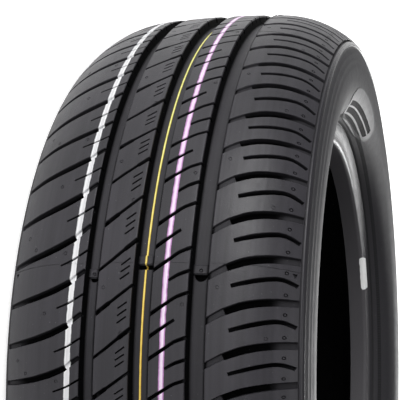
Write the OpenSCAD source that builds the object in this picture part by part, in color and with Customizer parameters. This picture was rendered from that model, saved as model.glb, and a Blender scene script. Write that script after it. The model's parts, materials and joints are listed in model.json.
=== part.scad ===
// Summer car tyre, 205/55 R16, lying on its sidewall.
// Millimetres. The spin axis is Z and the origin is the centre of the tyre.

/* [Tyre] */
// Overall diameter over the tread
overall_dia = 632; // [610:1:660]
// Overall width over the sidewalls, off the rim
overall_w = 219; // [210:1:226]
// Radius of the crown across the tread
crown_r = 770; // [500:10:1200]
// Radius that rounds the tread into the shoulders
shoulder_r = 85; // [78:1:92]

/* [Beads] */
// Diameter of the two bead seats, for a 16 inch rim
bead_seat_dia = 405.6; // [398:0.2:410]
// Length of each cylindrical bead seat
bead_seat_l = 12; // [8:0.5:14]
// Distance from the middle of the tyre to the toe of each bead
toe_z = 65.5; // [62:0.5:68]
// Radius of the bead heel
heel_r = 4; // [2:0.5:5]

/* [Walls] */
// Rubber and belts under the middle of the tread
crown_t = 16; // [13:0.5:19]
// Thickness of the sidewall where the tyre is widest
sidewall_t = 7.5; // [5:0.5:9]

/* [Circumferential grooves] */
// Depth of the three main grooves
main_depth = 7.5; // [5:0.5:8.5]
// Width of the outboard-side groove, the narrow one
groove1_w = 10.4; // [7:0.2:12]
// Width of the centre groove
groove2_w = 14.1; // [9:0.2:16]
// Width of the third groove
groove3_w = 13.5; // [9:0.2:15]
// Axial place of the narrow groove
groove1_z = -36.5; // [-40:0.5:-33]
// Axial place of the centre groove
groove2_z = 0.5; // [-3:0.5:3]
// Axial place of the third groove
groove3_z = 38.9; // [36:0.1:42]
// Draft of the groove walls
groove_draft = 8; // [3:1:12]
// Height of the wear bars above the groove floor
wear_bar_h = 1.6; // [1:0.1:2.5]
// Length of the wear bars along the groove
wear_bar_l = 7; // [4:0.5:12]
// Number of wear bars in each main groove
wear_bars = 6; // [4:1:8]

/* [Cross grooves] */
// Width of the cross grooves of both shoulders
cross_w = 5.4; // [3:0.2:6]
// Depth of the cross grooves of both shoulders
cross_depth = 6.5; // [4:0.5:7]
// Depth of the cross grooves where they run out over the shoulder
runout_depth = 2.6; // [1.5:0.1:4]
// Depth of the narrow links to the main grooves
link_depth = 1.8; // [1:0.1:3]
// Width of the narrow links
link_w = 4; // [2:0.1:5]
// Width of the blind slots between the cross grooves
slot_w = 3.1; // [1.5:0.1:4]
// Depth of the blind slots
slot_depth = 4.5; // [2:0.5:6]
// Width of the fine sipes of the left shoulder
sipe_w = 1.2; // [0.8:0.1:2]
// Width of the sipes across the two middle ribs
rib_sipe_w = 2.2; // [1:0.1:3]
// Depth of the sipes
sipe_depth = 5; // [2:0.5:6]

/* [Pitches] */
// Short pitch as a share of the medium one
short_pitch = 0.89; // [0.85:0.01:1]
// Long pitch as a share of the medium one
long_pitch = 1.11; // [1:0.01:1.15]
// Turn of the whole pattern about the axis
pattern_turn = 208; // [0:1:359]

/* [Hidden] */
$fn = 96;

tread_r = overall_dia / 2;
half_w = overall_w / 2;
seat_r = bead_seat_dia / 2;

// The shoulder arc ends at this lean, this far inside the overall width
shoulder_end_a = 45;
edge_inset = 4.9;
edge_z = half_w - edge_inset;

// Where the crown arc hands over to the shoulder arc
crown_end_z = (edge_z - shoulder_r * sin(shoulder_end_a)) / (1 - shoulder_r / crown_r);
crown_c = tread_r - crown_r;
crown_end_a = asin(crown_end_z / crown_r);
crown_end_r = crown_c + crown_r * cos(crown_end_a);
shoulder_c = [crown_end_r - shoulder_r * cos(crown_end_a),
              crown_end_z - shoulder_r * sin(crown_end_a)];
shoulder_end = shoulder_c + shoulder_r * [cos(shoulder_end_a), sin(shoulder_end_a)];

// The tyre is widest at this radius
widest_r = seat_r + 0.52 * (tread_r - seat_r);

// Order of the pitches, 0 short, 1 medium, 2 long, repeated round the tyre to break up its hum
pitch_order = [1, 1, 2, 0, 1, 2, 2, 1, 1, 0, 0, 2, 0, 1, 2, 2, 0, 0, 1, 1, 2, 0];
order_repeats = 3;
pitch_n = len(pitch_order) * order_repeats;
shares = [short_pitch, 1, long_pitch];

function total(v, n) = n == 0 ? 0 : v[n - 1] + total(v, n - 1);
order_shares = [for (k = pitch_order) shares[k]];
order_sum = total(order_shares, len(order_shares));
// Where each pitch of one repeat starts, in turns of that repeat
order_starts = [for (i = [0 : len(order_shares)]) total(order_shares, i) / order_sum];

// Angle of a place in the pattern, counted in pitches from the first one
function pattern_angle(p) =
    let (n = len(pitch_order), turn = floor(p / n), q = p - turn * n, i = floor(q))
    pattern_turn + 360 / order_repeats *
    (turn + order_starts[i] + (q - i) * (order_starts[i + 1] - order_starts[i]));

function arc(c, r, a0, a1, n) =
    [for (i = [0 : n]) let (a = a0 + (a1 - a0) * i / n) c + r * [cos(a), sin(a)]];

// Radius of the tread surface at an axial place
function surface_r(z) =
    abs(z) < crown_end_z ? crown_c + sqrt(pow(crown_r, 2) - z * z)
    : shoulder_c[0] + sqrt(pow(shoulder_r, 2) - pow(abs(z) - shoulder_c[1], 2));

// Lean of the surface at an axial place
function surface_a(z) =
    abs(z) < crown_end_z ? asin(z / crown_r)
    : sign(z) * asin((abs(z) - shoulder_c[1]) / shoulder_r);

// The outline of half a section, from the crown down the outside to the toe
upper_wall_a = 70;
upper_wall_r = (shoulder_end[0] - widest_r) / cos(upper_wall_a);
rim_line_r = seat_r + 19;
rim_line_z = half_w - 21;
lower_drop = widest_r - rim_line_r;
lower_wall_r = (pow(lower_drop, 2) + pow(half_w - rim_line_z, 2)) / (2 * (half_w - rim_line_z));
lower_wall_a = asin(lower_drop / lower_wall_r);
heel_z = toe_z + bead_seat_l + 1.5 + heel_r;
toe_chamfer = 1.5;
outer_half = concat(
    arc([crown_c, 0], crown_r, 0, crown_end_a, 3),
    arc(shoulder_c, shoulder_r, crown_end_a, shoulder_end_a, 5),
    arc([widest_r, half_w - upper_wall_r], upper_wall_r, upper_wall_a, 90, 4),
    arc([widest_r, half_w - lower_wall_r], lower_wall_r, 90, 90 + lower_wall_a, 7),
    [[rim_line_r - 1.5, rim_line_z - 2.2], [rim_line_r - 4, rim_line_z - 2.6], [seat_r + 10, heel_z + 1]],
    arc([seat_r + heel_r, heel_z - heel_r], heel_r, 90, 180, 4),
    [[seat_r, toe_z + toe_chamfer], [seat_r + toe_chamfer, toe_z]]
);

// The outline of the hollow. It keeps the crown's thickness under the tread, turns into the
// sidewall on one arc and runs to the bead on another, so that the wall thickens downwards.
inner_half_w = half_w - sidewall_t;
corner_inset = 29.6;
corner_z = edge_z - corner_inset;
corner_a = 12;
corner_r = (inner_half_w - corner_z) / (1 - sin(corner_a));
corner_c = [surface_r(corner_z) - crown_t, corner_z] - corner_r * [cos(corner_a), sin(corner_a)];
corner_end_a = acos(max(0, (widest_r - corner_c[0]) / corner_r));
wall_top_z = corner_c[1] + corner_r * sin(corner_end_a);
bead_w = 14;
foot = [seat_r + bead_w, toe_z + 3];
foot_drop = wall_top_z - foot[1];
foot_run = widest_r - foot[0];
inner_lower_r = (pow(foot_run, 2) + pow(foot_drop, 2)) / (2 * foot_drop);
inner_lower_a = asin(foot_run / inner_lower_r);
inner_half = concat(
    [for (z = [0, corner_z / 2]) [surface_r(z) - crown_t, z]],
    arc(corner_c, corner_r, corner_a, corner_end_a - 2, 7),
    arc([widest_r, wall_top_z - inner_lower_r], inner_lower_r, 90, 90 + inner_lower_a * 0.97, 7),
    [foot, [seat_r + toe_chamfer, toe_z]]
);

function mirrored(v) = [for (i = [len(v) - 1 : -1 : 0]) [v[i][0], -v[i][1]]];

groove_zs = [groove1_z, groove2_z, groove3_z];
groove_ws = [groove1_w, groove2_w, groove3_w];
// Angle of the first wear bar of each main groove
bar_angles = [248.1, 246.4, 247.6];
// How far the cutters reach past the tread
reach = 12;

module carcass() {
    rotate_extrude($fn = 360)
        difference() {
            polygon(concat(mirrored(outer_half), outer_half));
            polygon(concat(mirrored(inner_half), inner_half));
            for (i = [0 : 2]) main_groove(groove_zs[i], groove_ws[i]);
            for (s = [-1, 1]) shoulder_line(s);
        }
}

// Low blocks across the floors of the main grooves, whose walls they run into
module wear_bars_round() {
    root = 2;
    for (g = [0 : 2], k = [0 : wear_bars - 1])
        rotate([0, 0, bar_angles[g] + 360 / wear_bars * k])
            translate([groove_floor_r(groove_zs[g]) - root, -wear_bar_l / 2,
                       groove_zs[g] - groove_ws[g] / 2])
                cube([root + wear_bar_h, wear_bar_l, groove_ws[g]]);
}

function groove_floor_r(z) = surface_r(z) - main_depth;

// Section of a main groove, with leaning walls
module main_groove(z, w) {
    floor_r = groove_floor_r(z);
    lean = tan(groove_draft);
    half_floor = w / 2 - main_depth * lean;
    half_top = w / 2 + reach * lean;
    polygon([[floor_r, z - half_floor], [floor_r + main_depth + reach, z - half_top],
             [floor_r + main_depth + reach, z + half_top], [floor_r, z + half_floor]]);
}

// The fine line round each shoulder, where the pattern ends
shoulder_line_w = 1.8;
shoulder_line_depth = 1.4;
module shoulder_line(side) {
    translate([shoulder_end[0], side * shoulder_end[1]])
        rotate(side * (shoulder_end_a + 8))
            translate([-shoulder_line_depth, -shoulder_line_w / 2])
                square([shoulder_line_depth + 3, shoulder_line_w]);
}

// A cutter whose plan follows a path of [pitches, axial place, width], sunk into the tread
// across the surface at that place
module cut_path(i, path, depth) {
    mid = len(path) > 2 ? path[floor(len(path) / 2)] : (path[0] + path[1]) / 2;
    lean = surface_a(mid[1]);
    at_a = pattern_angle(i + mid[0]);
    r = surface_r(mid[1]);
    function across(p) = (pattern_angle(i + p[0]) - at_a) * PI / 180 * r;
    function along(p) = (p[1] - mid[1]) / cos(lean);
    near = [for (p = path) [across(p) - p[2] / 2, along(p)]];
    far = [for (k = [len(path) - 1 : -1 : 0]) [across(path[k]) + path[k][2] / 2, along(path[k])]];
    rotate([0, 0, at_a])
        translate([r, 0, mid[1]])
            rotate([0, -lean, 0])
                rotate([90, 0, 90])
                    translate([0, 0, -depth])
                        linear_extrude(depth + reach) polygon(concat(near, far));
}

// Edges of the ribs
groove1_edge = groove1_z - groove1_w / 2;
rib2_left = groove1_z + groove1_w / 2;
rib2_right = groove2_z - groove2_w / 2;
rib3_left = groove2_z + groove2_w / 2;
rib3_right = groove3_z - groove3_w / 2;
groove3_edge = groove3_z + groove3_w / 2;
// How far a cut reaches past the edge that it opens into
open = 1;

// The cross grooves turn deep this far from the main grooves, and shallow this far from the edge
right_link_l = 12.4;
left_link_l = 10.5;
runout_l = 17;
right_start_z = groove3_edge + right_link_l;
right_step_z = edge_z - runout_l;
left_start_z = groove1_edge - left_link_l;
left_step_z = runout_l - edge_z;

function between(a, b, share) = a + (b - a) * share;

// Arched cross groove of the right shoulder
module right_cross(i) {
    w = cross_w;
    cut_path(i, [[0.03, right_start_z, w * 0.9],
                 [-0.14, between(right_start_z, right_step_z, 0.48), w],
                 [-0.24, right_step_z, w]], cross_depth);
    cut_path(i, [[-0.235, right_step_z - open, w], [-0.28, edge_z + open / 2, w * 1.2]], runout_depth);
    cut_path(i, [[0.28, groove3_edge - open, link_w],
                 [0.03, right_start_z + open, link_w * 1.15]], link_depth);
}

// Blind slot between two cross grooves of the right shoulder
module right_slot(i) {
    cut_path(i, [[0.45, right_start_z + 2.8, slot_w * 0.85],
                 [0.28, between(right_start_z, edge_z, 0.43), slot_w],
                 [0.2, edge_z - 13.6, slot_w],
                 [0.3, edge_z - 2.8, slot_w]], slot_depth);
}

// Tapering cross groove of the left shoulder
module left_cross(i) {
    w = cross_w * 0.88;
    cut_path(i, [[0.4, left_start_z, w],
                 [0.64, between(left_start_z, left_step_z, 0.5), w],
                 [0.77, left_step_z, w * 0.9]], cross_depth);
    cut_path(i, [[0.765, left_step_z + open, w * 0.9], [0.85, -edge_z - open / 2, w * 0.75]], runout_depth);
    cut_path(i, [[0.39, left_start_z - open, link_w * 0.9], [0.11, groove1_edge + open, link_w * 0.8]],
             link_depth);
}

// Sipe of the left shoulder, open to the narrow groove
module left_sipe(i) {
    cut_path(i, [[0, left_start_z - 8.1, sipe_w], [-0.12, left_start_z, sipe_w],
                 [-0.33, groove1_edge + open, sipe_w]], sipe_depth);
}

// Straight sipe across the rib between the narrow groove and the centre groove, wider at one end,
// the ends taking turns
module rib2_sipe(i) {
    wide = i % 2 == 0 ? [1.25, 0.85] : [0.85, 1.25];
    cut_path(i, [[0.13, rib2_left - open, rib_sipe_w * wide[0]],
                 [-0.55, rib2_right + open, rib_sipe_w * wide[1]]], sipe_depth);
}

// Sipes across the rib between the centre groove and the third groove. One goes right across,
// and the next only from one side, the sides taking turns.
module rib3_sipes(i) {
    w = rib_sipe_w;
    cut_path(i, [[0.13, rib3_left - open, w], [-0.15, between(rib3_left, rib3_right, 0.47), w],
                 [-0.38, rib3_right + open, w]], sipe_depth);
    if (i % 2 == 0)
        cut_path(i, [[0.63, rib3_left - open, w],
                     [0.25, between(rib3_left, rib3_right, 0.69), w]], sipe_depth);
    else
        cut_path(i, [[0.35, between(rib3_left, rib3_right, 0.44), w],
                     [0.12, rib3_right + open, w]], sipe_depth);
}

module tread_cuts() {
    for (i = [0 : pitch_n - 1]) {
        right_cross(i);
        right_slot(i);
        left_cross(i);
        left_sipe(i);
        rib2_sipe(i);
        rib3_sipes(i);
    }
}

module tyre() {
    color("#37373b")
        difference() {
            union() {
                carcass();
                wear_bars_round();
            }
            tread_cuts();
        }
}

tyre();
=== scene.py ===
import bpy
import json
import math
from mathutils import Matrix, Vector


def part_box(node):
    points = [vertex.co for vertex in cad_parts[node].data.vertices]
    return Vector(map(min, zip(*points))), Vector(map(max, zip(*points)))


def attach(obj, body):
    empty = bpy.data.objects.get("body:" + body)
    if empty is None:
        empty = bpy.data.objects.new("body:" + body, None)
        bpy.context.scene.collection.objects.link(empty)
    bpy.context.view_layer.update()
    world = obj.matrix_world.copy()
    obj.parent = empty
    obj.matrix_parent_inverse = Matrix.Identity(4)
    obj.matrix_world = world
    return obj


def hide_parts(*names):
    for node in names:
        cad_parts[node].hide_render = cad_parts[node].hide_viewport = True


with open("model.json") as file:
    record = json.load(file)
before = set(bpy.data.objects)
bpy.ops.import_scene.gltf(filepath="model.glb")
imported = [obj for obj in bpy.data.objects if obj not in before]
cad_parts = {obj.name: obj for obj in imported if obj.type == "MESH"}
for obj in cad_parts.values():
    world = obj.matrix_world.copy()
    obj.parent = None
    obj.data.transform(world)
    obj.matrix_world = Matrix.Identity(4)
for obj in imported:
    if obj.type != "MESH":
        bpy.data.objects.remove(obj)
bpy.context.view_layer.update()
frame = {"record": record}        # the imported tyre, with its spin axis on Z
mm = 0.001

# What a user would change on the tyre, in millimetres and degrees. The outside size comes
# from the CAD box, and the bead seat from its mount.
tyreSpec = {
    "crownRadius": 770, "crownEnd": 50, "shoulderRadius": 85, "shoulderEndAngle": 45,
    "crownThickness": 16, "wallThickness": 7.5, "toeHeight": 65.5, "heelRadius": 4, "seatLength": 12,
    "mainGrooves": [(-36.5, 10.4), (0.5, 14.1), (38.9, 13.5)],      # axial place, width
    "mainDepth": 7.5, "draft": 8, "lip": 0.55, "floorFillet": 1.2,
    "wearBars": 6, "wearBarHeight": 1.6, "wearBarLength": 7, "wearBarEdge": 0.9, "wearBarRoot": 3.4,
    "firstWearBar": [248.1, 246.4, 247.6], "aroundSteps": 132,
}
patternSpec = {
    "order": [1, 1, 2, 0, 1, 2, 2, 1, 1, 0, 0, 2, 0, 1, 2, 2, 0, 0, 1, 1, 2, 0],
    "repeats": 3, "shares": [0.89, 1, 1.11], "turn": 208, "over": 3,
}

lowCorner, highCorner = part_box("tyre")
treadRadius = highCorner[0] / mm
halfWidth = highCorner[2] / mm
seatRadius = frame["record"]["mounts"][0]["dims"]["r_mm"]


def startEmpty():
    # new primitives are selected all over, so nothing else may be
    if bpy.context.object and bpy.context.object.mode != "OBJECT":
        bpy.ops.object.mode_set(mode="OBJECT")
    bpy.ops.object.select_all(action="DESELECT")


def choose(piece):
    startEmpty()
    piece.select_set(True)
    bpy.context.view_layer.objects.active = piece


def joinPieces(pieces, name):
    startEmpty()
    for piece in pieces:
        piece.select_set(True)
    bpy.context.view_layer.objects.active = pieces[0]
    bpy.ops.object.join()
    joined = bpy.context.object
    joined.name = name
    return joined


# the tread surface

crownCentre = treadRadius - tyreSpec["crownRadius"]
crownEndAngle = math.asin(tyreSpec["crownEnd"] / tyreSpec["crownRadius"])
shoulderCentre = (crownCentre + tyreSpec["crownRadius"] * math.cos(crownEndAngle)
                  - tyreSpec["shoulderRadius"] * math.cos(crownEndAngle),
                  tyreSpec["crownEnd"] - tyreSpec["shoulderRadius"] * math.sin(crownEndAngle))
shoulderLean = math.radians(tyreSpec["shoulderEndAngle"])
shoulderEnd = (shoulderCentre[0] + tyreSpec["shoulderRadius"] * math.cos(shoulderLean),
               shoulderCentre[1] + tyreSpec["shoulderRadius"] * math.sin(shoulderLean))
edgePlace = shoulderEnd[1]


def surfacePoint(z):
    # radius of the tread at an axial place, and how far the surface leans there
    if abs(z) < tyreSpec["crownEnd"]:
        lean = math.asin(z / tyreSpec["crownRadius"])
        return crownCentre + tyreSpec["crownRadius"] * math.cos(lean), lean
    lean = math.asin(min(1, (abs(z) - shoulderCentre[1]) / tyreSpec["shoulderRadius"]))
    return shoulderCentre[0] + tyreSpec["shoulderRadius"] * math.cos(lean), math.copysign(lean, z)


def arcPoints(centre, radius, start, end, count):
    # (radius, axial) points round a centre, with angles from the radial direction
    turns = [math.radians(start + (end - start) * i / count) for i in range(count + 1)]
    return [(centre[0] + radius * math.cos(a), centre[1] + radius * math.sin(a)) for a in turns]


def mainGroovePoints(place, width):
    # half of a main groove's section as (off, radius), then its mirror: lip, leaning wall, filleted corner
    lip, fillet = tyreSpec["lip"], tyreSpec["floorFillet"]
    top = surfacePoint(place)[0]
    halfFloor = width / 2 - tyreSpec["mainDepth"] * math.tan(math.radians(tyreSpec["draft"]))
    side = [(-width / 2 - lip, surfacePoint(place - width / 2 - lip)[0]),
            (-width / 2 - 0.3 * lip, surfacePoint(place - width / 2)[0] - 0.28 * lip),
            (-width / 2, top - lip * 1.1),
            (-halfFloor - 0.15, top - tyreSpec["mainDepth"] + fillet),
            (-halfFloor + 0.35 * fillet, top - tyreSpec["mainDepth"] + 0.28 * fillet),
            (-halfFloor + fillet, top - tyreSpec["mainDepth"])]
    left = [(r, place + s) for s, r in side]
    right = [(surfacePoint(place + width / 2 + lip)[0] if i == 0 else r, place - s)
             for i, (s, r) in enumerate(side)]
    return left + right[::-1]


def treadPoints():
    # from one shoulder to the other, rib by rib, with a main groove after each rib but the last
    points = []
    ribStart = -edgePlace + 1.6
    for place, width in tyreSpec["mainGrooves"] + [(edgePlace - 1.6, None)]:
        ribEnd = place - (width / 2 + tyreSpec["lip"] if width else 0)
        count = max(3, round((ribEnd - ribStart) / 6))
        points += [(surfacePoint(ribStart + (ribEnd - ribStart) * i / count)[0],
                    ribStart + (ribEnd - ribStart) * i / count) for i in range(count + (0 if width else 1))]
        if width:
            points += mainGroovePoints(place, width)[:-1]
            ribStart = place + width / 2 + tyreSpec["lip"]
    return points


# the wall: widest at about half its height, then a round down to the line beside the rim

widest = seatRadius + 0.52 * (treadRadius - seatRadius)
rimLine = (seatRadius + 19, halfWidth - 21)
drop = widest - rimLine[0]
lowerRadius = (drop ** 2 + (halfWidth - rimLine[1]) ** 2) / (2 * (halfWidth - rimLine[1]))


def wallPoints():
    # one side, from the fine line at the end of the pattern down to the toe
    upperRadius = (shoulderEnd[0] - widest) / math.cos(math.radians(70))
    lowerAngle = math.degrees(math.asin(drop / lowerRadius))
    heel = tyreSpec["toeHeight"] + tyreSpec["seatLength"] + 1.5 + tyreSpec["heelRadius"]
    r, z = shoulderEnd
    # the line is a narrow groove, and a rounded rib stands beside it
    points = [(r + 0.9, z - 1.9), (r + 0.2, z - 2.9), (r - 0.5, z - 2.7), (r - 0.5, z - 0.6),
              (r - 0.8, z + 0.3), (r - 1.6, z + 1.05), (r - 2.9, z + 1.75), (r - 3.9, z + 1.95),
              (r - 4.6, z + 1.2)]
    upper = arcPoints((widest, halfWidth - upperRadius), upperRadius, 70, 90, 14)
    for i, (r, z) in enumerate(upper[3:]):
        points.append((r, z - (0.45 if i in (1, 4, 7) else 0)))      # fine steps round the shoulder
    lower = arcPoints((widest, halfWidth - lowerRadius), lowerRadius, 90, 90 + lowerAngle, 11)
    for i, (r, z) in enumerate(lower[1:-1]):
        points.append((r, z - 0.35 if i in (4, 8) else z))
    r, z = rimLine
    points += [(r + 0.5, z + 0.1), (r + 0.1, z - 0.5), (r - 0.4, z - 2.6), (r - 1.2, z - 3.3),
               (r - 2.1, z - 3.0), (r - 2.5, z - 1.9), (r - 3.6, z - 1.8), (seatRadius + 11, heel + 1.9),
               (seatRadius + 7, heel + 0.4)]
    points += arcPoints((seatRadius + tyreSpec["heelRadius"], heel - tyreSpec["heelRadius"]),
                        tyreSpec["heelRadius"], 90, 180, 6)
    points += [(seatRadius, tyreSpec["toeHeight"] + 1.5), (seatRadius + 0.5, tyreSpec["toeHeight"] + 0.5),
               (seatRadius + 1.5, tyreSpec["toeHeight"])]
    return points


def hollowPoints():
    # one side of the inner liner, from the bead up to the crown: the wall thickens downwards
    innerHalf = halfWidth - tyreSpec["wallThickness"]
    cornerPlace, cornerLean = edgePlace - 29.6, math.radians(12)
    cornerRadius = (innerHalf - cornerPlace) / (1 - math.sin(cornerLean))
    cornerTop = surfacePoint(cornerPlace)[0] - tyreSpec["crownThickness"]
    cornerCentre = (cornerTop - cornerRadius * math.cos(cornerLean),
                    cornerPlace - cornerRadius * math.sin(cornerLean))
    foot = (seatRadius + 14, tyreSpec["toeHeight"] + 3)
    rise, run = innerHalf - foot[1], widest - foot[0]
    footRadius = (rise ** 2 + run ** 2) / (2 * rise)
    footAngle = math.degrees(math.asin(run / footRadius))
    points = [foot] + arcPoints((widest, innerHalf - footRadius), footRadius, 90 + 0.97 * footAngle, 92, 6)
    points += arcPoints(cornerCentre, cornerRadius, 82, 12, 6)
    return points + [(surfacePoint(37)[0] - tyreSpec["crownThickness"], 37)]


def modelCarcass():
    # the outline of the section, spun round the axis
    wall = wallPoints()
    hollow = hollowPoints()
    innerCrown = treadRadius - tyreSpec["crownThickness"]
    outline = treadPoints() + wall + hollow + [(innerCrown, 0)]
    outline += [(r, -z) for r, z in hollow[::-1]] + [(r, -z) for r, z in wall[::-1]]
    startEmpty()
    bpy.ops.mesh.primitive_circle_add(vertices=len(outline), radius=1, fill_type="NOTHING")
    carcass = bpy.context.object
    for corner, (r, z) in zip(carcass.data.vertices, outline):
        corner.co = (r * mm, 0, z * mm)
    bpy.ops.object.mode_set(mode="EDIT")
    bpy.ops.mesh.select_all(action="SELECT")
    bpy.ops.mesh.spin(steps=tyreSpec["aroundSteps"], angle=2 * math.pi, center=(0, 0, 0), axis=(0, 0, 1))
    bpy.ops.mesh.select_all(action="SELECT")
    bpy.ops.mesh.remove_doubles(threshold=0.00001)
    bpy.ops.mesh.normals_make_consistent(inside=False)
    bpy.ops.object.mode_set(mode="OBJECT")
    return carcass


# the pitches of the pattern, short, medium and long in a mixed order

orderShares = [patternSpec["shares"][k] for k in patternSpec["order"]]
orderStarts = [sum(orderShares[:i]) / sum(orderShares) for i in range(len(orderShares) + 1)]
pitchCount = len(orderShares) * patternSpec["repeats"]
mediumPitch = 2 * math.pi * treadRadius / patternSpec["repeats"] / sum(orderShares)


def patternAngle(p):
    count = len(orderShares)
    turn = math.floor(p / count)
    q = p - turn * count
    i = min(math.floor(q), count - 1)
    share = orderStarts[i] + (q - i) * (orderStarts[i + 1] - orderStarts[i])
    return math.radians(patternSpec["turn"] + 360 / patternSpec["repeats"] * (turn + share))


def onTread(pitch, across, z, height):
    # a place laid out flat goes onto the tread of that pitch, height along the surface normal
    angle = patternAngle(pitch + across / mediumPitch)
    r, lean = surfacePoint(z)
    r += height * math.cos(lean)
    return Vector((r * math.cos(angle), r * math.sin(angle), z + height * math.sin(lean))) * mm


def splinePath(path, rings):
    # a smooth line through the points, with width and depth changing evenly between them; points less
    # than 2 mm apart are a step in the floor and stay as they are
    smooth = []
    for i in range(len(path) - 1):
        p0, p1, p2, p3 = path[max(i - 1, 0)], path[i], path[i + 1], path[min(i + 2, len(path) - 1)]
        count = 1 if abs(p2[1] - p1[1]) < 2 else rings
        for k in range(count):
            t = k / count
            across, z = (0.5 * (2 * b + (c - a) * t + (2 * a - 5 * b + 4 * c - d) * t * t
                                + (3 * b - a - 3 * c + d) * t ** 3)
                         for a, b, c, d in zip(p0[:2], p1[:2], p2[:2], p3[:2]))
            width, depth = (start + (end - start) * t for start, end in zip(p1[2:], p2[2:]))
            smooth.append((across * mediumPitch, z, width, depth))
    return smooth + [(path[-1][0] * mediumPitch, *path[-1][1:])]


def grooveSection(width, depth, lip, fineness):
    # half of a section from the lid down to the middle of the floor, as (off, height)
    half, over = width / 2, patternSpec["over"]
    if fineness == "slit":
        return [(half, over), (half, -depth)]
    if fineness == "plain":
        return [(half + lip, over), (half + lip, 0.02), (half, -1.2 * lip), (half * 0.85, -depth)]
    return [(half + lip + 0.3, over), (half + lip, 0.02), (half, -1.2 * lip), (half * 0.88, -depth + 0.4),
            (half * 0.74, -depth)]


def modelCutter(name, path, lip, fineness):
    # a closed tube with a groove's section, laid out flat: across, axial place, height
    line = splinePath(path, 1 if len(path) == 2 or fineness == "slit" else 2)
    count = 2 * len(grooveSection(1, 1, 0, fineness))
    startEmpty()
    bpy.ops.mesh.primitive_grid_add(x_subdivisions=count - 1, y_subdivisions=len(line) - 1, size=2)
    cutter = bpy.context.object
    cutter.name = name
    corners = cutter.data.vertices
    for v in corners:
        column = round((v.co.x + 1) / 2 * (count - 1))
        row = round((v.co.y + 1) / 2 * (len(line) - 1))
        s, z, width, depth = line[row]
        s0, z0 = line[max(row - 1, 0)][:2]
        s1, z1 = line[min(row + 1, len(line) - 1)][:2]
        run = Vector((s1 - s0, z1 - z0)).normalized()
        half = grooveSection(width, depth, lip, fineness)
        off, height = half[min(column, count - 1 - column)]
        off = -off if column < count / 2 else off
        v.co = (s + run.y * off, z - run.x * off, height)
    bpy.ops.object.mode_set(mode="EDIT")
    bpy.ops.mesh.select_all(action="DESELECT")
    bpy.ops.mesh.select_mode(type="EDGE")
    bpy.ops.object.mode_set(mode="OBJECT")
    # the two long open edges are bridged into a lid, and the ends are filled
    top = max(v.co.z for v in corners)
    for edge in cutter.data.edges:
        ends = [corners[k].co for k in edge.vertices]
        edge.select = all(abs(e.z - top) < 0.001 for e in ends) and abs(ends[0].y - ends[1].y) > 0.001
    bpy.ops.object.mode_set(mode="EDIT")
    bpy.ops.mesh.bridge_edge_loops()
    bpy.ops.mesh.select_all(action="DESELECT")
    bpy.ops.mesh.select_non_manifold(extend=False)
    bpy.ops.mesh.fill_holes(sides=0)
    bpy.ops.mesh.select_all(action="SELECT")
    bpy.ops.mesh.quads_convert_to_tris(quad_method="BEAUTY", ngon_method="BEAUTY")
    bpy.ops.mesh.normals_make_consistent(inside=False)
    bpy.ops.object.mode_set(mode="OBJECT")
    return cutter


def placeCopy(master, name, spot):
    # a copy with its own mesh, whose corners go where spot puts them
    mesh = master.data.copy()
    for v in mesh.vertices:
        v.co = spot(v.co)
    copy = bpy.data.objects.new(name, mesh)
    bpy.context.collection.objects.link(copy)
    return copy


def placeMark(mark, angle, off, r, z):
    # from flat on the axis to a radius, an axial place and an angle, off millimetres further round
    turn = Matrix.Rotation(math.radians(angle) + off / r, 4, "Z") @ Matrix.Translation((r, 0, z))
    mark.data.transform(Matrix.Scale(mm, 4) @ turn @ Matrix.Rotation(math.pi / 2, 4, "Y"))
    return mark


def layRound(master, pitches, name):
    # one copy of a flat cutter for each pitch, then all as one
    copies = [placeCopy(master, name, lambda co: onTread(pitch, co.x, co.y, co.z)) for pitch in pitches]
    bpy.data.objects.remove(master)
    return joinPieces(copies, name)


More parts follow.
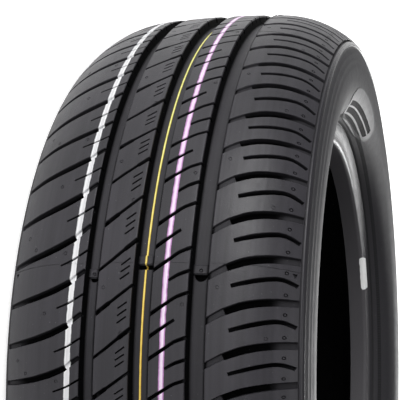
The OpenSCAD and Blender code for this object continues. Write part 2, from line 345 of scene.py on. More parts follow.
# Every cut of one pitch: points of [pitches, axial place, width, depth], lip, which pitches have it,
# and how finely its section is made
grooveSpec = {
    "rightCross": ([(0.29, 44.4, 4, 1.6), (0.16, 50.5, 4.2, 1.7), (0.035, 57.2, 4.8, 1.8),
                    (0.03, 58.2, 5, 6.8), (-0.1, 68, 5.3, 7), (-0.185, 78, 5.3, 7), (-0.235, 87, 5.3, 5),
                    (-0.26, 94, 5.2, 2.9), (-0.285, 104.2, 5, 1.8)], 0.35, "all", "full"),
    "rightSlot": ([(0.455, 60.8, 2.6, 4), (0.31, 75, 3.2, 5), (0.2, 89, 3.2, 5), (0.22, 96, 3.1, 4.5),
                   (0.3, 102, 2.9, 3)], 0.3, "all", "plain"),
    "leftCross": ([(0.11, -41.3, 3.2, 1.9), (0.25, -47, 3.4, 1.9), (0.385, -51.6, 3.8, 1.9),
                   (0.4, -52.6, 4.6, 6.6), (0.57, -64, 5, 6.8), (0.7, -77, 4.7, 6.6), (0.765, -87, 4.4, 5),
                   (0.815, -95, 4, 3), (0.85, -104.2, 3.6, 1.8)], 0.35, "all", "full"),
    "leftSipe": ([(-0.01, -60.5, 1.2, 3.5), (-0.12, -52, 1.5, 5), (-0.225, -46.5, 1.5, 5),
                  (-0.34, -41, 1.5, 5)], 0.15, "all", "plain"),
    "ribTwoWideLow": ([(0.13, -31.6, 3.3, 5), (-0.12, -22.2, 3.1, 5), (-0.14, -21.4, 2.2, 5),
                       (-0.55, -5.8, 2.1, 5)], 0.2, "even", "plain"),
    "ribTwoWideHigh": ([(0.13, -31.6, 2.1, 5), (-0.33, -14.4, 2.2, 5), (-0.35, -13.6, 3.1, 5),
                        (-0.55, -5.8, 3.3, 5)], 0.2, "odd", "plain"),
    "ribTwoFineA": ([(0.0, -15.6, 1.2, 3), (-0.15, -9.3, 1.2, 3)], 0, "all", "slit"),
    "ribTwoFineB": ([(0.165, -15.6, 1.2, 3), (0.015, -9.3, 1.2, 3)], 0, "all", "slit"),
    "ribTwoFineC": ([(0.33, -15.6, 1.2, 3), (0.18, -9.3, 1.2, 3)], 0, "all", "slit"),
    "ribThreeFull": ([(0.14, 6.8, 2.8, 5), (-0.01, 13, 2.6, 5), (-0.16, 19.5, 2.4, 5), (-0.28, 25, 2.4, 5),
                      (-0.38, 33, 2.6, 5)], 0.2, "all", "plain"),
    "ribThreeLeft": ([(0.64, 6.8, 2.8, 5), (0.49, 13, 2.6, 5), (0.34, 19.5, 2.3, 4.5), (0.24, 24.3, 2, 3)],
                     0.2, "even", "plain"),
    "ribThreeRight": ([(0.36, 18.6, 2, 3), (0.22, 25, 2.5, 5), (0.12, 33, 2.7, 5)], 0.2, "odd", "plain"),
}


def modelCuts():
    wanted = {"all": range(pitchCount), "even": range(0, pitchCount, 2), "odd": range(1, pitchCount, 2)}
    cuts = []
    for name, (path, lip, which, fineness) in grooveSpec.items():
        cuts.append(layRound(modelCutter(name, path, lip, fineness), wanted[which], name))
    return joinPieces(cuts, "treadCuts")


markSpec = {
    # vents: (pitches, axial place), deep ones in every pitch, then faint ones in every third
    "deepVents": [(0.02, 95), (0.55, 95)],
    "faintVents": [(0.98, 66), (0.5, 52), (0.1, -70), (0.22, -92), (0.52, -27), (0.6, 84), (0.72, -58),
                   (0.9, 29), (0.55, -12.5), (0.55, -84)],
    "ventRadius": 1.4, "deepWall": 0.65, "deepDepth": 1.3, "faintWall": 0.45, "faintDepth": 0.6,
    "barVentOff": 0.8,
    "seams": 8, "firstSeam": 247.1, "seamWidth": 0.45, "seamDepth": 0.3, "seamEnd": 103,
    "triangleSize": 2.4, "triangleDepth": 1.5, "triangleInset": 4.6,
    # radius of the round pocket in each main groove, and none where it is a slot
    "pockets": [2.7, None, 4.7], "pocketDepth": 3.2, "slotLength": 6, "slotSides": 1.45,
}


def wearBarAngles(groove):
    # degrees round the tyre, evenly spaced
    first, count = tyreSpec["firstWearBar"][groove], tyreSpec["wearBars"]
    return [first + 360 * k / count for k in range(count)]


def wearBarTop(place):
    return surfacePoint(place)[0] - tyreSpec["mainDepth"] + tyreSpec["wearBarHeight"]


def modelVentRing(wall, depth):
    # a ring-shaped groove, cut out of a flat circle by inset and extrude
    startEmpty()
    bpy.ops.mesh.primitive_circle_add(vertices=8, radius=markSpec["ventRadius"], fill_type="NGON",
                                      location=(0, 0, -depth))
    bpy.ops.object.transform_apply(location=True)
    bpy.ops.object.mode_set(mode="EDIT")
    bpy.ops.mesh.select_all(action="SELECT")
    bpy.ops.mesh.inset(thickness=wall)
    bpy.ops.mesh.delete(type="FACE")
    bpy.ops.mesh.select_all(action="SELECT")
    bpy.ops.mesh.extrude_region_move(TRANSFORM_OT_translate={"value": (0, 0, depth + 0.3)})
    bpy.ops.mesh.select_all(action="SELECT")
    bpy.ops.mesh.normals_make_consistent(inside=False)
    bpy.ops.object.mode_set(mode="OBJECT")
    return bpy.context.object


def modelVents():
    copies = []
    for step, kind in ((1, "deep"), (3, "faint")):
        master = modelVentRing(markSpec[kind + "Wall"], markSpec[kind + "Depth"])
        for n, (share, z) in enumerate(markSpec[kind + "Vents"]):
            for pitch in range(n % step, pitchCount, step):
                copies.append(placeCopy(master, "vent", lambda co: onTread(
                    pitch, co.x + share * mediumPitch, co.y + z, co.z)))
        bpy.data.objects.remove(master)
    # and one on each wear bar beside a round pocket
    for groove, (place, _) in enumerate(tyreSpec["mainGrooves"]):
        for angle in wearBarAngles(groove) if markSpec["pockets"][groove] else []:
            ring = modelVentRing(markSpec["deepWall"], markSpec["deepDepth"])
            copies.append(placeMark(ring, angle, markSpec["barVentOff"], wearBarTop(place), place))
    return joinPieces(copies, "vents")


def modelSeams():
    # fine lines across the tread where the segments of the mould met
    end, steps = markSpec["seamEnd"], 20
    path = [(0, end * (2 * i / steps - 1), markSpec["seamWidth"], markSpec["seamDepth"])
            for i in range(steps + 1)]
    master = modelCutter("seam", path, 0, "slit")

    def spot(co):
        r, lean = surfacePoint(co.y)
        height = co.z if co.z < 0 else 1
        turn = angle + co.x / r
        r += height * math.cos(lean)
        return r * mm * math.cos(turn), r * mm * math.sin(turn), (co.y + height * math.sin(lean)) * mm

    copies = []
    for k in range(markSpec["seams"]):
        angle = math.radians(markSpec["firstSeam"] + 360 * k / markSpec["seams"])
        copies.append(placeCopy(master, "seam", spot))
    bpy.data.objects.remove(master)
    return joinPieces(copies, "seams")


def modelTriangles():
    # small triangles on both shoulders that point at the wear bars
    triangles = []
    for side in (-1, 1):
        for angle in wearBarAngles(2):
            z = side * (edgePlace - markSpec["triangleInset"])
            r, lean = surfacePoint(z)
            startEmpty()
            bpy.ops.mesh.primitive_cylinder_add(vertices=3, radius=markSpec["triangleSize"] * mm,
                                                depth=2 * markSpec["triangleDepth"] * mm)
            triangle = bpy.context.object
            triangle.matrix_world = (Matrix.Rotation(math.radians(angle), 4, "Z")
                                     @ Matrix.Translation((r * mm, 0, z * mm))
                                     @ Matrix.Rotation(math.pi / 2 - lean, 4, "Y"))
            bpy.ops.object.transform_apply(location=True, rotation=True, scale=True)
            triangles.append(triangle)
    return joinPieces(triangles, "triangles")


def modelWearBars():
    # low blocks across the floor of each main groove, spaced evenly round the tyre
    bars = []
    height = tyreSpec["wearBarHeight"] + tyreSpec["wearBarRoot"]
    for groove, (place, width) in enumerate(tyreSpec["mainGrooves"]):
        middle = (wearBarTop(place) - height / 2) * mm
        for angle in map(math.radians, wearBarAngles(groove)):
            startEmpty()
            bpy.ops.mesh.primitive_cube_add(size=1)
            bar = bpy.context.object
            bar.scale = (height * mm, tyreSpec["wearBarLength"] * mm, (width + 1) * mm)
            bar.location = (middle * math.cos(angle), middle * math.sin(angle), place * mm)
            bar.rotation_euler = (0, 0, angle)
            bpy.ops.object.transform_apply(location=True, rotation=True, scale=True)
            bpy.ops.object.mode_set(mode="EDIT")
            bpy.ops.mesh.select_all(action="SELECT")
            bpy.ops.mesh.bevel(offset=tyreSpec["wearBarEdge"] * mm, segments=1)
            bpy.ops.object.mode_set(mode="OBJECT")
            bars.append(bar)
    return joinPieces(bars, "wearBars")


def modelPockets():
    # a pocket in the groove floor at one end of each wear bar, half covered by it
    pockets = []
    for groove, (place, width) in enumerate(tyreSpec["mainGrooves"]):
        for angle in wearBarAngles(groove):
            radius = markSpec["pockets"][groove]
            startEmpty()
            if radius:
                bpy.ops.mesh.primitive_cylinder_add(vertices=16, radius=radius,
                                                    depth=2 * markSpec["pocketDepth"])
            else:
                bpy.ops.mesh.primitive_cube_add(size=1)
                bpy.context.object.scale = (width - 2 * markSpec["slotSides"], markSpec["slotLength"],
                                            2 * markSpec["pocketDepth"])
            bpy.ops.object.transform_apply(location=True, rotation=True, scale=True)
            pockets.append(placeMark(bpy.context.object, angle, tyreSpec["wearBarLength"] / 2,
                                     wearBarTop(place) - tyreSpec["wearBarHeight"], place))
    return joinPieces(pockets, "pockets")


padSpec = {
    # a raised smooth pad with three sunk rows, twice round each wall; its outline is a rounded box, where
    # the cubes of the shares of the half turn and of the half band add up to 1, and the rows end inside it
    "angle": 168, "halfTurn": 17, "radius": 237, "halfBand": 14, "height": 0.4,
    "rowPitch": 5.6, "rows": [225.4, 231, 236.6], "rowHalf": 2, "rowDepth": 0.5, "rowsInside": 0.62,
}


def modelPlate(columns, bands, low, high, spot):
    # a thin closed plate that follows each wall, at both pads: spot turns a place on a flat square
    # into a turn and a radius
    plates = []
    for side in (-1, 1):
        for start in (padSpec["angle"], padSpec["angle"] + 180):
            startEmpty()
            bpy.ops.mesh.primitive_grid_add(x_subdivisions=columns, y_subdivisions=bands, size=2)
            plate = bpy.context.object
            bpy.ops.object.mode_set(mode="EDIT")
            bpy.ops.mesh.select_all(action="SELECT")
            bpy.ops.mesh.extrude_region_move(TRANSFORM_OT_translate={"value": (0, 0, 1)})
            bpy.ops.object.mode_set(mode="OBJECT")
            for v in plate.data.vertices:
                turn, r = spot(v.co.x, v.co.y)
                turn = math.radians(start + turn)
                z = halfWidth - lowerRadius + math.sqrt(lowerRadius ** 2 - (widest - r) ** 2)
                z += high if v.co.z > 0.5 else low
                v.co = (r * mm * math.cos(turn), r * mm * math.sin(turn), side * z * mm)
            bpy.ops.object.mode_set(mode="EDIT")
            bpy.ops.mesh.select_all(action="SELECT")
            bpy.ops.mesh.normals_make_consistent(inside=False)
            bpy.ops.object.mode_set(mode="OBJECT")
            plates.append(plate)
    return plates


def modelPads():
    def spot(u, v):
        # the square's rim goes to the rounded box
        share = max(abs(u), abs(v)) / max(1e-9, (abs(u) ** 3 + abs(v) ** 3) ** (1 / 3))
        return padSpec["halfTurn"] * u * share, padSpec["radius"] + padSpec["halfBand"] * v * share
    return joinPieces(modelPlate(12, 4, -2, padSpec["height"], spot), "pads")


def modelPadRows():
    def spot(u, v):
        r = (inner + outer) / 2 + v * (outer - inner) / 2
        band = abs((r - padSpec["radius"]) / padSpec["halfBand"]) ** 3
        return padSpec["halfTurn"] * u * (padSpec["rowsInside"] - band) ** (1 / 3), r

    plates = []
    lowest = padSpec["radius"] - padSpec["halfBand"] * padSpec["rowsInside"] ** (1 / 3) + 0.15
    for row in padSpec["rows"]:
        inner, outer = max(row - padSpec["rowHalf"], lowest), row + padSpec["rowHalf"]
        plates += modelPlate(8, 2, padSpec["height"] - padSpec["rowDepth"], 2, spot)
    return joinPieces(plates, "padRows")


def noteDepth(piece):
    # the finish paints shade by how far a place lies below the tread, so each corner keeps that in
    # millimetres, and much less of it in the wide main grooves, where light reaches the floor
    depth = piece.data.attributes.new("depthBelow", "FLOAT", "POINT")
    for v, value in zip(piece.data.vertices, depth.data):
        r, z = math.hypot(v.co.x, v.co.y) / mm, v.co.z / mm
        if abs(z) < edgePlace and r > treadRadius - 35:
            top, lean = surfacePoint(z)
            below = max(0, (top - r) * math.cos(lean))
            main = any(abs(z - place) < width / 2 for place, width in tyreSpec["mainGrooves"])
            value.value = 0.1 * below if main and below < tyreSpec["mainDepth"] + 0.8 else below


def combine(piece, other, operation):
    choose(piece)
    modifier = piece.modifiers.new(operation.lower(), "BOOLEAN")
    modifier.operation = operation
    modifier.object = other
    modifier.solver = "MANIFOLD"
    bpy.ops.object.modifier_apply(modifier=modifier.name)
    bpy.data.objects.remove(other)


def modelTyre():
    carcass = modelCarcass()
    print("carcass", len(carcass.data.polygons), "faces")
    combine(carcass, modelPads(), "UNION")
    combine(carcass, modelPadRows(), "DIFFERENCE")
    print("pads", len(carcass.data.polygons), "faces")
    combine(carcass, modelPockets(), "DIFFERENCE")
    combine(carcass, modelWearBars(), "UNION")
    cuts = modelCuts()
    print("cuts", len(cuts.data.polygons), "faces")
    combine(carcass, cuts, "DIFFERENCE")
    combine(carcass, modelVents(), "DIFFERENCE")
    combine(carcass, modelSeams(), "DIFFERENCE")
    combine(carcass, modelTriangles(), "DIFFERENCE")
    carcass.name = "tyreRubber"
    noteDepth(carcass)
    choose(carcass)
    bpy.ops.object.shade_smooth_by_angle(angle=math.radians(32))
    # large faces lead the shading, so that a rounded lip doesn't shade the block beside it
    modifier = carcass.modifiers.new("even", "WEIGHTED_NORMAL")
    modifier.keep_sharp = True
    bpy.ops.object.modifier_apply(modifier=modifier.name)
    carcass.data.calc_loop_triangles()
    print("tyre", len(carcass.data.polygons), "faces", len(carcass.data.loop_triangles), "triangles")
    return carcass


# finishes

finishSpec = {
    "rubber": (0.0235, 0.0225, 0.0265), "rubberWorn": (0.038, 0.036, 0.0425),
    # painted light: the bead seat's paler rubber
    "wallRubber": (0.023, 0.0222, 0.0258), "beadLitRubber": (0.075, 0.072, 0.078),
    # painted shade: near black for the grooves and recesses, and for the foot of the groove walls
    "recessShadeRubber": (0.003, 0.003, 0.0035), "shadeRubber": (0.002, 0.002, 0.0025),
    "padRubber": (0.032, 0.031, 0.035), "dust": (0.12, 0.12, 0.13),
    # how fine each noise is, and how the bands round the tread are stretched
    "clouds": 9, "bands": (5, 5, 300), "specks": 170, "blotches": 150, "grain": 900,
    "specular": 0.27, "bumpStrength": 0.25, "bumpDistance": 0.0004,
    # roughness of the tread, how much blotches change it, and what each place adds to it
    "roughness": 0.31, "blotchRough": 0.14, "grooveRough": 0.5, "wallRough": 0.24, "edgeRough": -0.2,
    "padRough": -0.12, "ribbedRough": 0.4, "beadRough": -0.22,
    # depths over which painted shade darkens the narrow grooves, at first and then fully, and how metallic
    # that shade is, to take its sheen away
    "shallowDepth": (0.36, 1.27), "fullDepth": (2.67, 4.89), "grooveShadeMetallic": 0.85,
    # the shallow links of the left shoulder blocks get more painted shade than their depth says
    "linkPlace": -44.3, "linkHalf": 3.6, "linkEdge": 0.6, "linkShade": 0.85,
    # shade at the foot of a main groove's walls: half widths, place in from the wall, top and softness
    "leftShade": 1.55, "rightShade": [2.7, 2.4, 2.1], "shadeOff": 0.6, "shadeBelow": 1.2, "shadeEdge": 2,
    # radii over the bead seat: where it turns glossy, and pale with painted light, a groove with painted
    # shade, and a ribbed ring
    "beadGloss": (17, 8.67), "beadPaintedLight": (11, 7.67),
    "rimGroovePlace": 17.6, "rimGrooveHalf": 1.3, "rimGrooveEdge": 0.6,
    "ringPlace": 23, "ringHalf": 1.6, "ringEdge": 0.4, "ringStrength": 0.6,
    # fine ribs round the tyre, and the radius where the rows of the pads end
    "ribs": 540, "rowsEnd": 240,
}
paintSpec = {
    # stripes round the tread: axial place, half width, softness and wander of the edge, and the lowest
    # and highest place over the tread that the paint reaches
    "stripes": {
        "white": (-50.1, 2.05, 0.3, 1, -2.4, 1),
        "pink": (16.65, 1.8, 0.4, 1, -0.9, 1), "pinkLight": (16.65, 1.0, 0.6, 1, -0.9, 1),
        "yellow": (0, 0.66, 0.3, 0.3, -11.9, -4.4), "yellowLight": (-0.05, 0.3, 0.4, 0.5, -11.9, -4.4),
    },
    "white": (0.82, 0.82, 0.83), "whiteWorn": (0.62, 0.62, 0.64),
    "pink": (0.52, 0.25, 0.53), "pinkLight": (0.87, 0.77, 0.88), "pinkWorn": (0.78, 0.60, 0.79),
    "yellow": (0.62, 0.56, 0.03), "yellowLight": (0.88, 0.88, 0.42),
    "orange": (0.72, 0.42, 0.02), "orangeLight": (0.92, 0.74, 0.20),
    "streaks": (6, 6, 1500), "wobble": 160, "wobbleWidth": 1.1, "orangeFrom": (-0.229, -0.086),
    # a short stroke on the bead
    "dab": (0.95, 0.95, 0.95), "dabAlong": -66.9, "dabAxial": 82, "dabHalfLength": 14.5, "dabRadius": 2.7,
    "dabWobble": 1.5, "dabHighest": 10,
}


def addNode(tree, kind, place=(0, 0), **values):
    node = tree.nodes.new(kind)
    node.location = place
    for name, value in values.items():
        setattr(node, name, value)
    return node


def calculate(tree, operation, first, second=None, third=None, clamp=False):
    # a Math node whose inputs are other sockets or plain numbers
    node = addNode(tree, "ShaderNodeMath", operation=operation, use_clamp=clamp)
    for socket, value in zip(node.inputs, (first, second, third)):
        if isinstance(value, (int, float)):
            socket.default_value = value
        elif value is not None:
            tree.links.new(value, socket)
    return node.outputs[0]


def fade(tree, value, none, full):
    # 0 at one value and 1 at the other, even between them and level beyond
    slope = 1 / (full - none)
    return calculate(tree, "MULTIPLY_ADD", value, slope, -none * slope, clamp=True)


def paintLineGroup():
    # a stripe round the tyre: 1 on the stripe, 0 off it, with an edge that may wander
    group = bpy.data.node_groups.new("paintLine", "ShaderNodeTree")
    for name, value in (("Radius", 0), ("Place", 0), ("Centre", 0), ("Half Width", 1), ("Lowest", 0),
                        ("Highest", 400), ("Wander", 0), ("Edge", 0.2)):
        socket = group.interface.new_socket(name, in_out="INPUT", socket_type="NodeSocketFloat")
        socket.default_value = value
    group.interface.new_socket("Mask", in_out="OUTPUT", socket_type="NodeSocketFloat")
    given = addNode(group, "NodeGroupInput", (-900, 0)).outputs
    result = addNode(group, "NodeGroupOutput", (600, 0))
    off = calculate(group, "ABSOLUTE", calculate(group, "SUBTRACT", given["Place"], given["Centre"]))
    inside = calculate(group, "ADD", calculate(group, "SUBTRACT", given["Half Width"], off), given["Wander"])
    across = calculate(group, "ADD", calculate(group, "DIVIDE", inside, given["Edge"]), 0.5, clamp=True)
    above = calculate(group, "GREATER_THAN", given["Radius"], given["Lowest"])
    below = calculate(group, "LESS_THAN", given["Radius"], given["Highest"])
    mask = calculate(group, "MULTIPLY", across, calculate(group, "MULTIPLY", above, below))
    group.links.new(mask, result.inputs["Mask"])
    return group


def rubberMaterial():
    material = bpy.data.materials.new("tyreRubber")
    material.use_nodes = True
    tree = material.node_tree
    shader = tree.nodes["Principled BSDF"]
    place = addNode(tree, "ShaderNodeTexCoord", (-1800, 0)).outputs["Object"]
    split = addNode(tree, "ShaderNodeSeparateXYZ", (-1600, 0))
    tree.links.new(place, split.inputs[0])
    x, y, z = split.outputs
    group = paintLineGroup()

    def find(operation, *values, clamp=False):
        return calculate(tree, operation, *values, clamp=clamp)

    def ramp(value, none, full):
        return fade(tree, value, none, full)

    def noise(scale, detail, roughness=0.5, stretch=None):
        node = addNode(tree, "ShaderNodeTexNoise")
        node.inputs["Scale"].default_value = scale
        node.inputs["Detail"].default_value = detail
        node.inputs["Roughness"].default_value = roughness
        source = place
        if stretch:
            mapping = addNode(tree, "ShaderNodeMapping")
            mapping.inputs["Scale"].default_value = stretch
            tree.links.new(place, mapping.inputs["Vector"])
            source = mapping.outputs[0]
        tree.links.new(source, node.inputs["Vector"])
        return node.outputs["Fac"]

    def blend(mask, first, second):
        node = addNode(tree, "ShaderNodeMix", data_type="RGBA")
        tree.links.new(mask, node.inputs["Factor"])
        sockets = [s for s in node.inputs if s.type == "RGBA"]
        for socket, value in zip(sockets, (first, second)):
            if isinstance(value, tuple):
                socket.default_value = (*value, 1)
            else:
                tree.links.new(value, socket)
        return [s for s in node.outputs if s.type == "RGBA"][0]

    def line(where, centre, half, edge, lowest=0, highest=400, wander=None):
        node = addNode(tree, "ShaderNodeGroup", node_tree=group)
        tree.links.new(radius, node.inputs["Radius"])
        tree.links.new(where, node.inputs["Place"])
        for name, value in (("Centre", centre), ("Half Width", half), ("Lowest", lowest),
                            ("Highest", highest), ("Edge", edge)):
            node.inputs[name].default_value = value
        if wander:
            tree.links.new(wander, node.inputs["Wander"])
        return node.outputs["Mask"]

    # millimetres from the axis, over the bead seat and along the axis
    radius = find("MULTIPLY", find("SQRT", find("ADD", find("MULTIPLY", x, x), find("MULTIPLY", y, y))), 1000)
    overSeat = find("SUBTRACT", radius, seatRadius)
    axial = find("MULTIPLY", z, 1000)

    # worn rubber in clouds and in bands round the tread
    cloud = noise(finishSpec["clouds"], 3)
    bands = noise(1, 2, stretch=finishSpec["bands"])
    worn = find("MULTIPLY_ADD", bands, 1.6, find("MULTIPLY_ADD", cloud, 2.4, -1.5), clamp=True)
    base = blend(worn, finishSpec["rubber"], finishSpec["rubberWorn"])

    # grooves: painted shade where narrow and deep, and along the foot of both walls of a main groove
    depth = addNode(tree, "ShaderNodeAttribute", attribute_name="depthBelow").outputs["Fac"]
    shallow = ramp(depth, *finishSpec["shallowDepth"])
    sunk = find("MULTIPLY_ADD", shallow, 0.45, find("MULTIPLY", ramp(depth, *finishSpec["fullDepth"]), 0.55))
    # painted shade, more of it in the shallow links of the left blocks
    link = line(axial, finishSpec["linkPlace"], finishSpec["linkHalf"], finishSpec["linkEdge"])
    sunk = find("MAXIMUM", sunk, find("MULTIPLY", shallow, find("MULTIPLY", link, finishSpec["linkShade"])))
    base = blend(sunk, base, finishSpec["recessShadeRubber"])
    shade = None
    for (centre, width), rightHalf in zip(tyreSpec["mainGrooves"], finishSpec["rightShade"]):
        for side, half in ((-1, finishSpec["leftShade"]), (1, rightHalf)):
            foot = line(axial, centre + side * (width / 2 - finishSpec["shadeOff"]), half,
                        finishSpec["shadeEdge"], highest=surfacePoint(centre)[0] - finishSpec["shadeBelow"])
            shade = find("MAXIMUM", shade, foot) if shade else foot
    base = blend(shade, base, finishSpec["shadeRubber"])
    dark = find("MAXIMUM", sunk, shade)

    # walls, and the bead with painted light and a groove with painted shade
    bead = ramp(overSeat, *finishSpec["beadGloss"])
    wall = find("MAXIMUM", ramp(find("ABSOLUTE", axial), edgePlace - 0.5, edgePlace + 0.5),
                find("LESS_THAN", radius, shoulderEnd[0] - 4))
    base = blend(wall, base, finishSpec["wallRubber"])
    # painted light: the bead seat gets a paler rubber
    base = blend(ramp(overSeat, *finishSpec["beadPaintedLight"]), base, finishSpec["beadLitRubber"])
    # painted shade in the groove beside the rim
    rimGroove = line(overSeat, finishSpec["rimGroovePlace"], finishSpec["rimGrooveHalf"],
                     finishSpec["rimGrooveEdge"])
    base = blend(rimGroove, base, finishSpec["recessShadeRubber"])

    # pads, with their outline as they are modelled, and fine ribs in their rows; the rows and the ribbed ring
    # get painted shade
    turned = math.radians(padSpec["angle"])
    toward = find("ADD", find("MULTIPLY", x, math.cos(turned)), find("MULTIPLY", y, math.sin(turned)))
    aside = find("SUBTRACT", find("MULTIPLY", y, math.cos(turned)), find("MULTIPLY", x, math.sin(turned)))
    turn = find("ARCTAN2", aside, find("ABSOLUTE", toward))
    overTurn = find("POWER", find("ABSOLUTE", find("DIVIDE", turn, math.radians(padSpec["halfTurn"]))), 3)
    overBand = find("POWER", find("ABSOLUTE", find(
        "MULTIPLY_ADD", radius, 1 / padSpec["halfBand"], -padSpec["radius"] / padSpec["halfBand"])), 3)
    over = find("ADD", overTurn, overBand)
    pad = find("MULTIPLY", ramp(over, 1, 0.8), wall)
    base = blend(pad, base, finishSpec["padRubber"])
    rows = ramp(find("SINE", find("MULTIPLY", radius, 2 * math.pi / padSpec["rowPitch"])), -0.775, -0.525)
    rows = find("MULTIPLY", rows, find("LESS_THAN", radius, finishSpec["rowsEnd"]))
    rows = find("MULTIPLY", find("MULTIPLY", pad, find("LESS_THAN", over, padSpec["rowsInside"])), rows)
    ring = line(overSeat, finishSpec["ringPlace"], finishSpec["ringHalf"], finishSpec["ringEdge"])
    ribs = ramp(find("SINE", find("MULTIPLY", turn, finishSpec["ribs"])), -1 / 3, 1 / 3)
    ribbed = find("MULTIPLY", find("MAXIMUM", rows, find("MULTIPLY", ring, finishSpec["ringStrength"])),
                  find("MULTIPLY_ADD", ribs, -0.3, 1))
    # painted shade in the pads' rows and the ribbed ring
    base = blend(ribbed, base, finishSpec["recessShadeRubber"])

    # specks of dust, more of them where the rubber is worn
    specks = addNode(tree, "ShaderNodeTexVoronoi")
    specks.inputs["Scale"].default_value = finishSpec["specks"]
    tree.links.new(place, specks.inputs["Vector"])
    dusty = find("MULTIPLY", ramp(specks.outputs["Distance"], 0.0767, 0.0433), ramp(cloud, 0.367, 0.7))
    base = blend(dusty, base, finishSpec["dust"])

    # paint stripes with streaks along them, and edges that wander
    streak = ramp(noise(1, 1, stretch=paintSpec["streaks"]), 0.42, 0.62)
    wobble = find("MULTIPLY", find("SUBTRACT", noise(paintSpec["wobble"], 3), 0.5), paintSpec["wobbleWidth"])
    ripe = ramp(x, *paintSpec["orangeFrom"])        # the thin line turns orange round the tyre
    colours = {
        "white": blend(streak, paintSpec["white"], paintSpec["whiteWorn"]),
        "pink": paintSpec["pink"],
        "pinkLight": blend(streak, paintSpec["pinkLight"], paintSpec["pinkWorn"]),
        "yellow": blend(ripe, paintSpec["yellow"], paintSpec["orange"]),
        "yellowLight": blend(ripe, paintSpec["yellowLight"], paintSpec["orangeLight"]),
    }
    for name, (centre, half, edge, wander, lowest, highest) in paintSpec["stripes"].items():
        tread = surfacePoint(centre)[0]
        stripe = line(axial, centre, half, edge, tread + lowest, tread + highest,
                      find("MULTIPLY", wobble, wander))
        base = blend(stripe, base, colours[name])

    # the dab: all that is near a short straight line on the bead
    along = find("ABSOLUTE", find("MULTIPLY_ADD", x, 1000, -paintSpec["dabAlong"]))
    along = find("MAXIMUM", find("SUBTRACT", along, paintSpec["dabHalfLength"]), 0)
    across = find("SUBTRACT", axial, paintSpec["dabAxial"])
    reach = find("SQRT", find("ADD", find("MULTIPLY", along, along), find("MULTIPLY", across, across)))
    dab = find("GREATER_THAN", find("MULTIPLY_ADD", wobble, paintSpec["dabWobble"], paintSpec["dabRadius"]),
               reach)
    dab = find("MULTIPLY", dab, find("GREATER_THAN", y, 0))
    dab = find("MULTIPLY", dab, find("LESS_THAN", overSeat, paintSpec["dabHighest"]))
    base = blend(dab, base, paintSpec["dab"])
    tree.links.new(base, shader.inputs["Base Color"])

    # gloss: matt in the grooves and on the walls, smoother on the rib by the tread, the pads and the bead
    inner = ramp(radius, shoulderEnd[0] - 3, shoulderEnd[0] - 7)
    blotches = noise(finishSpec["blotches"], 2)
    rough = find("MULTIPLY_ADD", blotches, finishSpec["blotchRough"], finishSpec["roughness"])
    changes = {"grooveRough": dark, "wallRough": inner, "edgeRough": find("SUBTRACT", wall, inner),
               "padRough": pad, "ribbedRough": ribbed, "beadRough": bead}
    for name, mask in changes.items():
        rough = find("MULTIPLY_ADD", mask, finishSpec[name], rough)
    tree.links.new(rough, shader.inputs["Roughness"])
    # metallic takes the sheen off the painted groove shade as well, so that it stays dark
    tree.links.new(find("MULTIPLY", dark, finishSpec["grooveShadeMetallic"]), shader.inputs["Metallic"])
    shader.inputs["Specular IOR Level"].default_value = finishSpec["specular"]
    bump = addNode(tree, "ShaderNodeBump")
    bump.inputs["Strength"].default_value = finishSpec["bumpStrength"]
    bump.inputs["Distance"].default_value = finishSpec["bumpDistance"]
    grain = noise(finishSpec["grain"], 3, 0.6)
    tree.links.new(find("MULTIPLY_ADD", ribbed, -1.5, grain), bump.inputs["Height"])
    tree.links.new(bump.outputs["Normal"], shader.inputs["Normal"])
    return material


# floor, light and camera

stageSpec = {
    "floorRadius": 9, "floorColour": 0.82, "floorRoughness": 0.9,
    # the backdrop is white as seen or mirrored, and gives the tyre only this much light
    "skyLight": 0.25,
    # place, size and power of each lamp, all aimed at the tyre's middle
    "lights": {
        "topLight": ((-2.0, -1.3, 0.6), 1.2, 36), "frontLight": ((-1.3, -2.4, 0.7), 1.4, 10),
        "fillLight": ((-0.2, -0.9, 2.2), 1.4, 8), "backLight": ((0.6, 2.25, 1.0), 0.9, 27),
    },
    # level with the tread and rolled so that the tyre's axis runs across the picture
    "cameraPlace": (-0.1938, -1.07162, 0.25386), "cameraRight": (0.02681, 0.26232, 0.96461),
    "cameraUp": (-0.99898, 0.04201, 0.01634), "lens": 109.895, "sensor": 36,
}


def seenDirectly(tree):
    # 1 for what the camera sees, or sees mirrored or through glass
    path = addNode(tree, "ShaderNodeLightPath").outputs
    seen = calculate(tree, "MAXIMUM", path["Is Camera Ray"], path["Is Glossy Ray"])
    return calculate(tree, "MAXIMUM", seen, path["Is Transmission Ray"])


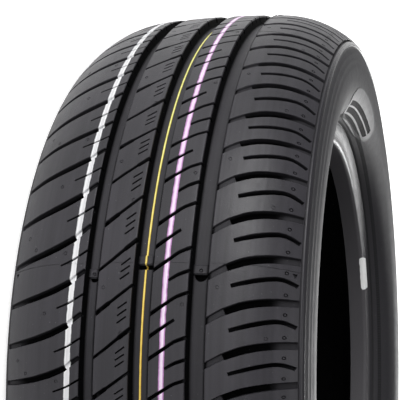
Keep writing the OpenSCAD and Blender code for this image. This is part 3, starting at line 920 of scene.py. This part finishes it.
def makeFloor():
    startEmpty()
    bpy.ops.mesh.primitive_circle_add(vertices=64, radius=stageSpec["floorRadius"], fill_type="NGON",
                                      location=(0, 0, lowCorner[2]))
    floor = bpy.context.object
    floor.name = "floor"
    material = bpy.data.materials.new("paleFloor")
    material.use_nodes = True
    tree = material.node_tree
    shader = tree.nodes["Principled BSDF"]
    shader.inputs["Base Color"].default_value = (*[stageSpec["floorColour"]] * 3, 1)
    shader.inputs["Roughness"].default_value = stageSpec["floorRoughness"]
    shader.inputs["Emission Color"].default_value = (1, 1, 1, 1)
    glow = calculate(tree, "MULTIPLY", seenDirectly(tree), 1 - stageSpec["skyLight"])
    tree.links.new(glow, shader.inputs["Emission Strength"])
    floor.data.materials.append(material)


def makeWorld():
    world = bpy.data.worlds.new("studio")
    bpy.context.scene.world = world
    world.use_nodes = True
    tree = world.node_tree
    background = tree.nodes["Background"]
    background.inputs["Color"].default_value = (1, 1, 1, 1)
    # the white backdrop ends some way above the horizon, under a darker ceiling
    split = addNode(tree, "ShaderNodeSeparateXYZ")
    tree.links.new(addNode(tree, "ShaderNodeTexCoord").outputs["Generated"], split.inputs[0])
    backdrop = fade(tree, split.outputs["Z"], 0.5, 0.25)
    white = calculate(tree, "MULTIPLY", seenDirectly(tree), backdrop)
    strength = calculate(tree, "MULTIPLY_ADD", white, 1 - stageSpec["skyLight"], stageSpec["skyLight"])
    tree.links.new(strength, background.inputs["Strength"])


def makeLights():
    for name, (place, size, power) in stageSpec["lights"].items():
        lamp = bpy.data.lights.new(name, "AREA")
        lamp.shape = "DISK"
        lamp.size = size
        lamp.energy = power
        light = bpy.data.objects.new(name, lamp)
        bpy.context.collection.objects.link(light)
        light.location = place
        light.rotation_euler = (-Vector(place)).to_track_quat("-Z", "Y").to_euler()


def makeCamera():
    right, up = Vector(stageSpec["cameraRight"]), Vector(stageSpec["cameraUp"])
    data = bpy.data.cameras.new("photoView")
    data.lens = stageSpec["lens"]
    data.sensor_width = stageSpec["sensor"]
    camera = bpy.data.objects.new("photoView", data)
    bpy.context.collection.objects.link(camera)
    turn = Matrix((right, up, right.cross(up))).transposed()
    camera.matrix_world = Matrix.Translation(stageSpec["cameraPlace"]) @ turn.to_4x4()
    bpy.context.scene.camera = camera


makeCamera()
tyre = modelTyre()
tyre.data.materials.clear()
tyre.data.materials.append(rubberMaterial())
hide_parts("tyre")
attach(tyre, "root")
print("materials done")
makeFloor()
makeWorld()
makeLights()
bpy.context.scene.view_settings.view_transform = "Standard"
print("stage done")
